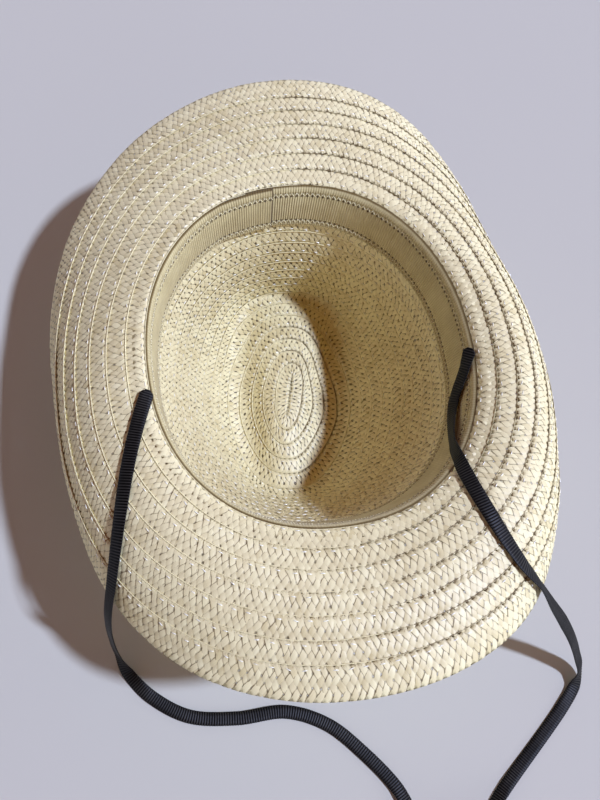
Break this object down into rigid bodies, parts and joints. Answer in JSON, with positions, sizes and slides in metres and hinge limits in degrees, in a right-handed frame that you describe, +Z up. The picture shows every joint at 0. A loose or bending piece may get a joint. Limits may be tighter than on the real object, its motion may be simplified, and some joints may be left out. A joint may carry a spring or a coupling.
{
  "type": "straw cowboy hat",
  "caption": "Straw cowboy hat with a dented crown, a brim curled up at its sides, a ribbed sweatband and a loose ribbon chin strap, resting crown down.",
  "frame": {"origin": "on the surface that the crown rests on, under the middle of the hat's own box", "axes": "+Z up out of the opening as the hat rests crown down, +Y to the hat's back, -Y to its front"},
  "size_m": [0.2822, 0.4352, 0.1207],
  "materials": {
    "straw": "flat straw braid sewn in overlapping rounds, cream, dry, with a slight sheen on each strand",
    "band_tape": "beige ribbed tape with a paler selvage and a row of zigzag stitches along each edge",
    "ribbon": "black ribbed ribbon with a soft sheen across its ribs"
  },
  "bodies": {
    "root": {"straw_body": "straw", "sweatband": "band_tape", "chin_strap": "ribbon"}
  },
  "joints": []
}
